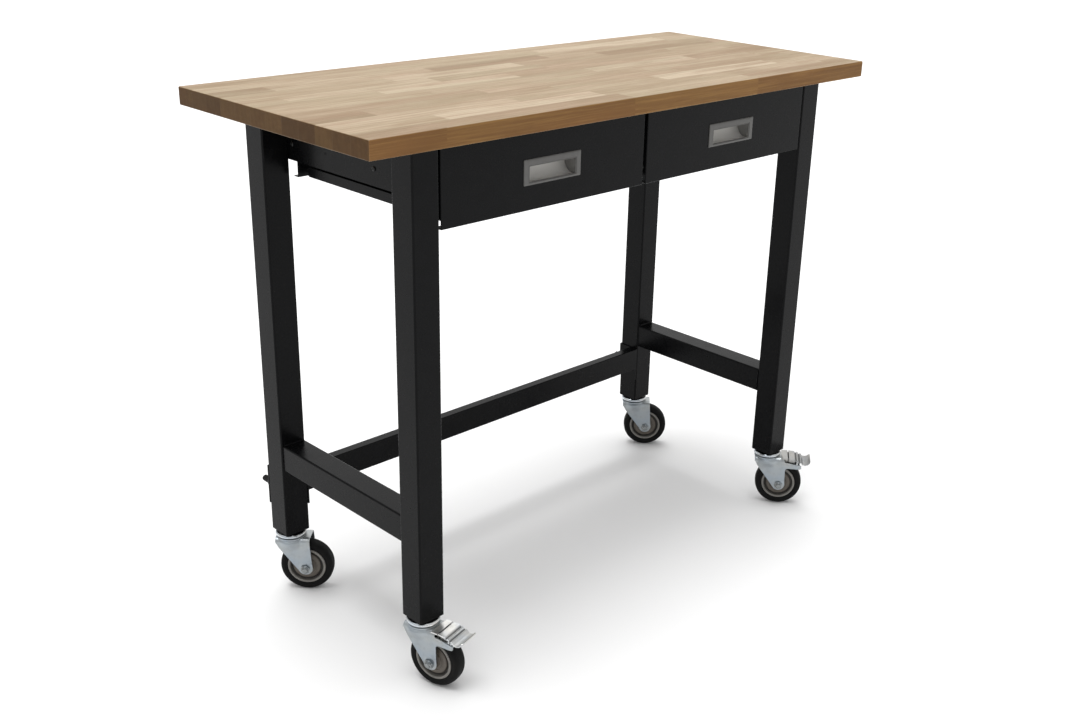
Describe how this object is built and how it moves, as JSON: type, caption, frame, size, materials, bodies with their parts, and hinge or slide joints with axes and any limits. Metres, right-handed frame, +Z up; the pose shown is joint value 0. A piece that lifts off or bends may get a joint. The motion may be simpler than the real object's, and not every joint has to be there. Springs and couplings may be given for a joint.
{
  "type": "mobile workbench",
  "caption": "Mobile workbench: laminated wood top on a steel tube frame, two drawers with recessed pulls on telescopic runners, swivel casters with foot brakes in front.",
  "frame": {"origin": "on the floor, under the centre of the bench's bounding box", "axes": "+Z up, +X along the bench to its right end, drawers open towards -Y"},
  "size_m": [1.2, 0.5492, 0.955],
  "materials": {
    "top_wood": "oiled, edge-glued staves butted end to end",
    "black_powder": "black powder coat, semi-gloss",
    "pull_metal": "satin",
    "black_steel": "black oxide, slightly glossy",
    "zinc": "bright zinc plating",
    "caster_zinc": "zinc-plated pressed steel",
    "runner_zinc": "zinc-plated rolled steel",
    "tyre_rubber": "matt black",
    "hub_plastic": "moulded grey"
  },
  "bodies": {
    "frame": {"worktop": "top_wood", "leg_front_left": "black_powder", "leg_front_right": "black_powder", "leg_rear_left": "black_powder", "leg_rear_right": "black_powder", "leg_cap_plates": "black_powder", "leg_foot_plates": "black_powder", "end_rail_left": "black_powder", "end_rail_right": "black_powder", "rear_stretcher": "black_powder", "stretcher_bracket_left": "black_powder", "stretcher_bracket_right": "black_powder", "case_side_left": "black_powder", "case_side_right": "black_powder", "case_divider": "black_powder", "case_back": "black_powder", "worktop_screws": "zinc", "stretcher_studs": "black_steel", "stretcher_nuts": "black_steel", "case_screws": "black_steel", "drawer_left_runner_outer": "runner_zinc", "drawer_right_runner_outer": "runner_zinc", "caster_front_left_mount": "caster_zinc", "caster_front_right_mount": "caster_zinc", "caster_rear_left_mount": "caster_zinc", "caster_rear_right_mount": "caster_zinc"},
    "drawer_left": {"drawer_left_front": "black_powder", "drawer_left_tray": "black_powder", "drawer_left_skirts": "black_powder", "drawer_left_pull": "pull_metal", "drawer_left_screws": "black_steel", "drawer_left_runner_inner": "runner_zinc"},
    "runners_middle_left": {"drawer_left_runner_middle": "runner_zinc"},
    "drawer_right": {"drawer_right_front": "black_powder", "drawer_right_tray": "black_powder", "drawer_right_skirts": "black_powder", "drawer_right_pull": "pull_metal", "drawer_right_screws": "black_steel", "drawer_right_runner_inner": "runner_zinc"},
    "runners_middle_right": {"drawer_right_runner_middle": "runner_zinc"},
    "swivel_front_left": {"caster_front_left_fork": "caster_zinc", "caster_front_left_axle": "zinc", "caster_front_left_pedal_pivots": "caster_zinc"},
    "wheel_front_left": {"caster_front_left_hub": "hub_plastic", "caster_front_left_tyre": "tyre_rubber"},
    "brake_front_left": {"caster_front_left_pedal": "caster_zinc"},
    "swivel_front_right": {"caster_front_right_fork": "caster_zinc", "caster_front_right_axle": "zinc", "caster_front_right_pedal_pivots": "caster_zinc"},
    "wheel_front_right": {"caster_front_right_hub": "hub_plastic", "caster_front_right_tyre": "tyre_rubber"},
    "brake_front_right": {"caster_front_right_pedal": "caster_zinc"},
    "swivel_rear_left": {"caster_rear_left_fork": "caster_zinc", "caster_rear_left_axle": "zinc"},
    "wheel_rear_left": {"caster_rear_left_hub": "hub_plastic", "caster_rear_left_tyre": "tyre_rubber"},
    "swivel_rear_right": {"caster_rear_right_fork": "caster_zinc", "caster_rear_right_axle": "zinc"},
    "wheel_rear_right": {"caster_rear_right_hub": "hub_plastic", "caster_rear_right_tyre": "tyre_rubber"}
  },
  "joints": [
    {"name": "drawer_left_slide", "type": "slide", "parent": "frame", "child": "drawer_left", "axis": [0, -1, 0], "range_m": [0, 0.35]},
    {"name": "runners_middle_left_slide", "type": "slide", "parent": "frame", "child": "runners_middle_left", "axis": [0, -1, 0], "range_m": [0, 0.175]},
    {"name": "drawer_right_slide", "type": "slide", "parent": "frame", "child": "drawer_right", "axis": [0, -1, 0], "range_m": [0, 0.35]},
    {"name": "runners_middle_right_slide", "type": "slide", "parent": "frame", "child": "runners_middle_right", "axis": [0, -1, 0], "range_m": [0, 0.175]},
    {"name": "swivel_front_left_turn", "type": "hinge", "parent": "frame", "child": "swivel_front_left", "pos_m": [-0.478, -0.17835, 0.1], "axis": [0, 0, 1], "continuous": true},
    {"name": "wheel_front_left_spin", "type": "hinge", "parent": "swivel_front_left", "child": "wheel_front_left", "pos_m": [-0.47062, -0.20588, 0.05], "axis": [0.9659, 0.2588, 0], "continuous": true},
    {"name": "brake_front_left_press", "type": "hinge", "parent": "swivel_front_left", "child": "brake_front_left", "pos_m": [-0.46609, -0.22279, 0.098], "axis": [0.9659, 0.2588, 0], "range_deg": [0, 8]},
    {"name": "swivel_front_right_turn", "type": "hinge", "parent": "frame", "child": "swivel_front_right", "pos_m": [0.478, -0.17835, 0.1], "axis": [0, 0, 1], "continuous": true},
    {"name": "wheel_front_right_spin", "type": "hinge", "parent": "swivel_front_right", "child": "wheel_front_right", "pos_m": [0.49555, -0.20081, 0.05], "axis": [0.788, 0.6157, 0], "continuous": true},
    {"name": "brake_front_right_press", "type": "hinge", "parent": "swivel_front_right", "child": "brake_front_right", "pos_m": [0.50632, -0.2146, 0.098], "axis": [0.788, 0.6157, 0], "range_deg": [0, 8]},
    {"name": "swivel_rear_left_turn", "type": "hinge", "parent": "frame", "child": "swivel_rear_left", "pos_m": [-0.478, 0.21765, 0.1], "axis": [0, 0, 1], "continuous": true},
    {"name": "wheel_rear_left_spin", "type": "hinge", "parent": "swivel_rear_left", "child": "wheel_rear_left", "pos_m": [-0.4582, 0.19714, 0.05], "axis": [0.7193, 0.6947, 0], "continuous": true},
    {"name": "swivel_rear_right_turn", "type": "hinge", "parent": "frame", "child": "swivel_rear_right", "pos_m": [0.478, 0.21765, 0.1], "axis": [0, 0, 1], "continuous": true},
    {"name": "wheel_rear_right_spin", "type": "hinge", "parent": "swivel_rear_right", "child": "wheel_rear_right", "pos_m": [0.4978, 0.19714, 0.05], "axis": [0.7193, 0.6947, 0], "continuous": true}
  ],
  "couplings": [
    {"joint": "runners_middle_left_slide", "follows": "drawer_left_slide", "ratio": 0.5},
    {"joint": "runners_middle_right_slide", "follows": "drawer_right_slide", "ratio": 0.5}
  ]
}
